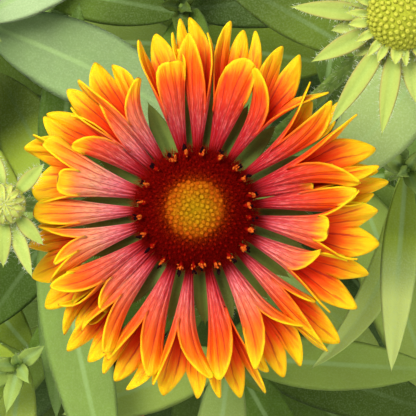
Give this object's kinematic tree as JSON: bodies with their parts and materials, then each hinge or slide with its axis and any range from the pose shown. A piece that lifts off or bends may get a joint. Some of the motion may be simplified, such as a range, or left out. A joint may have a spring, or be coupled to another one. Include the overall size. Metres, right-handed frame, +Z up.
{
  "type": "potted blanket flower plant",
  "caption": "Potted flowering perennial: an open bloom of trumpet-shaped, lobed ray florets round a domed disc, two green heads and lance-shaped leaves on leaning stems, in a plain clay pot.",
  "frame": {"origin": "centre of the pot's foot, on the surface that the pot stands on", "axes": "+Z up, along the upright bloom stem; +Y towards the back of the plant and +X to the right, as a viewer looking down on the bloom sees them"},
  "size_m": [0.1972, 0.211, 0.3364],
  "materials": {
    "clay": "matte",
    "compost": "matte",
    "stem_green": "matte",
    "leaf_grey_green": "matte",
    "bract_green": "matte",
    "ray_orange": "satin",
    "disc_maroon": "matte",
    "disc_gold": "matte",
    "bud_green": "matte"
  },
  "bodies": {
    "root": {"pot": "clay", "soil": "compost", "bloom_stem": "stem_green", "bloom_bracts": "bract_green", "bloom_rays": "ray_orange", "bloom_disc_ring": "disc_maroon", "bloom_disc_eye": "disc_gold", "bud_a_stem": "stem_green", "bud_a_head": "bud_green", "bud_a_disc": "bud_green", "bud_b_stem": "stem_green", "bud_b_head": "bud_green", "bud_b_disc": "bud_green", "leafy_shoot_nw": "leaf_grey_green", "leafy_shoot_ne": "leaf_grey_green", "leafy_shoot_e": "leaf_grey_green", "leafy_shoot_s": "leaf_grey_green", "leafy_shoot_sw": "leaf_grey_green", "leafy_shoot_n": "leaf_grey_green"}
  },
  "joints": []
}
